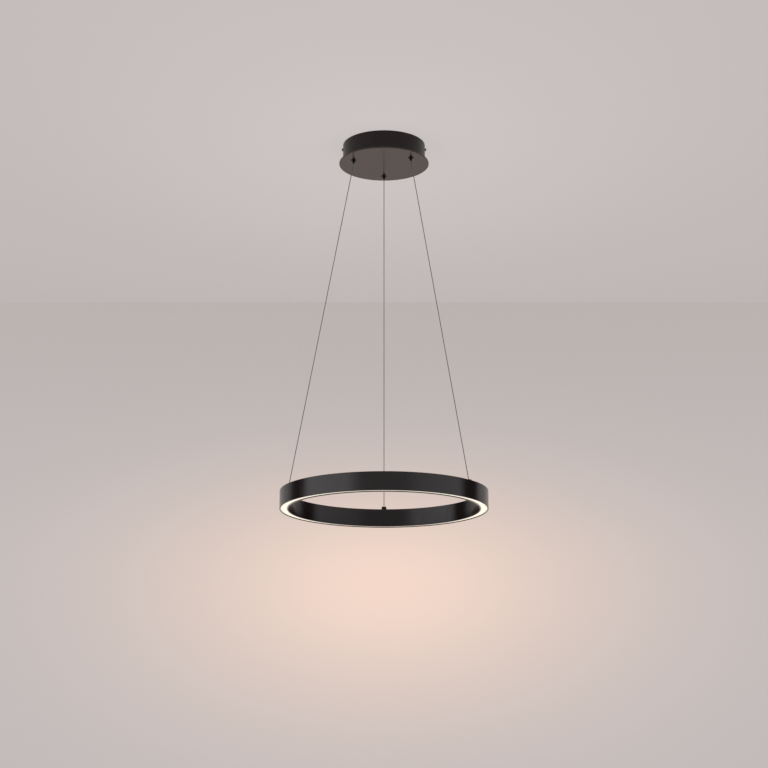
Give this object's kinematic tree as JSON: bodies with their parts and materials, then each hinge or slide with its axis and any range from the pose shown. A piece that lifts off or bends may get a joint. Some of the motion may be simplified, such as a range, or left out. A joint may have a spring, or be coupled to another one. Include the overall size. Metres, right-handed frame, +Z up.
{
  "type": "led pendant light",
  "caption": "Ring-shaped LED pendant light: a channel-section hoop with an opal diffuser underneath, hung level on taut wires from wire grippers in a round ceiling canopy.",
  "frame": {"origin": "centre of the canopy on the ceiling plane", "axes": "+Z up into the ceiling, the ring hangs towards -Z, -Y faces the viewer of the picture, +X is to that viewer's right"},
  "size_m": [0.4, 0.4, 0.745],
  "materials": {
    "black_aluminium": "satin black powder coat on aluminium",
    "black_steel": "satin black powder coat on steel",
    "black_fitting": "black plated turned brass",
    "dark_screw": "black oxide",
    "wire_steel": "stranded stainless wire",
    "zinc_steel": "bright zinc plated",
    "plain_brass": "turned, bright",
    "black_nylon": "moulded nylon, matt",
    "white_plastic": "moulded, fine texture",
    "natural_nylon": "moulded nylon, matt",
    "green_board": "solder mask on glass laminate",
    "white_board": "white solder mask on aluminium",
    "ferrite": "sintered, dull",
    "capacitor_sleeve": "shrink sleeve on a can",
    "led_phosphor": "phosphor in silicone",
    "opal_diffuser": "opal, satin"
  },
  "bodies": {
    "canopy": {"ceiling_bracket": "zinc_steel", "bracket_earth_screw": "plain_brass", "canopy_cup": "black_steel", "canopy_plate": "black_steel", "side_screws": "dark_screw", "stud_nuts": "zinc_steel", "earth_washer": "plain_brass", "driver_case": "white_plastic", "driver_lid": "white_plastic", "driver_board": "green_board", "driver_transformer": "ferrite", "driver_capacitors": "capacitor_sleeve", "driver_terminals": "natural_nylon", "terminal_block": "natural_nylon", "terminal_sleeves": "plain_brass", "terminal_screws": "zinc_steel", "gripper_bushes": "black_nylon", "gripper_washers": "black_nylon", "gripper_nuts": "zinc_steel", "gripper_body_left": "black_fitting", "gripper_spring_left": "zinc_steel", "gripper_plug_left": "plain_brass", "wire_left": "wire_steel", "wire_tail_left": "wire_steel", "wire_stop_left": "zinc_steel", "gripper_body_right": "black_fitting", "gripper_spring_right": "zinc_steel", "gripper_plug_right": "plain_brass", "wire_right": "wire_steel", "wire_tail_right": "wire_steel", "wire_stop_right": "zinc_steel", "gripper_body_rear": "black_fitting", "gripper_spring_rear": "zinc_steel", "gripper_plug_rear": "plain_brass", "wire_rear": "wire_steel", "wire_tail_rear": "wire_steel", "wire_stop_rear": "zinc_steel"},
    "plunger_left": {"gripper_plunger_left": "black_fitting", "gripper_balls_left": "zinc_steel"},
    "plunger_right": {"gripper_plunger_right": "black_fitting", "gripper_balls_right": "zinc_steel"},
    "plunger_rear": {"gripper_plunger_rear": "black_fitting", "gripper_balls_rear": "zinc_steel"},
    "ring": {"ring_profile": "black_aluminium", "diffuser": "opal_diffuser", "led_board": "white_board", "led_chips": "led_phosphor", "board_connectors": "white_plastic", "cap_bushes": "black_nylon", "cap_pads": "black_nylon", "slide_nuts": "zinc_steel", "ring_cap_left": "black_fitting", "ring_cap_right": "black_fitting", "ring_cap_rear": "black_fitting", "wire_end_left": "zinc_steel", "wire_end_right": "zinc_steel", "wire_end_rear": "zinc_steel"}
  },
  "joints": [
    {"name": "ring_height", "type": "slide", "parent": "canopy", "child": "ring", "axis": [0, 0, 1], "range_m": [0, 0.4], "deforming": ["wire_left", "wire_right", "wire_rear"]},
    {"name": "gripper_release_left", "type": "slide", "parent": "canopy", "child": "plunger_left", "axis": [0, 0, 1], "range_m": [0, 0.0016], "stiffness_N_per_m": 800, "springref_m": -0.002, "deforming": ["gripper_spring_left"]},
    {"name": "gripper_release_right", "type": "slide", "parent": "canopy", "child": "plunger_right", "axis": [0, 0, 1], "range_m": [0, 0.0016], "stiffness_N_per_m": 800, "springref_m": -0.002, "deforming": ["gripper_spring_right"]},
    {"name": "gripper_release_rear", "type": "slide", "parent": "canopy", "child": "plunger_rear", "axis": [0, 0, 1], "range_m": [0, 0.0016], "stiffness_N_per_m": 800, "springref_m": -0.002, "deforming": ["gripper_spring_rear"]}
  ]
}
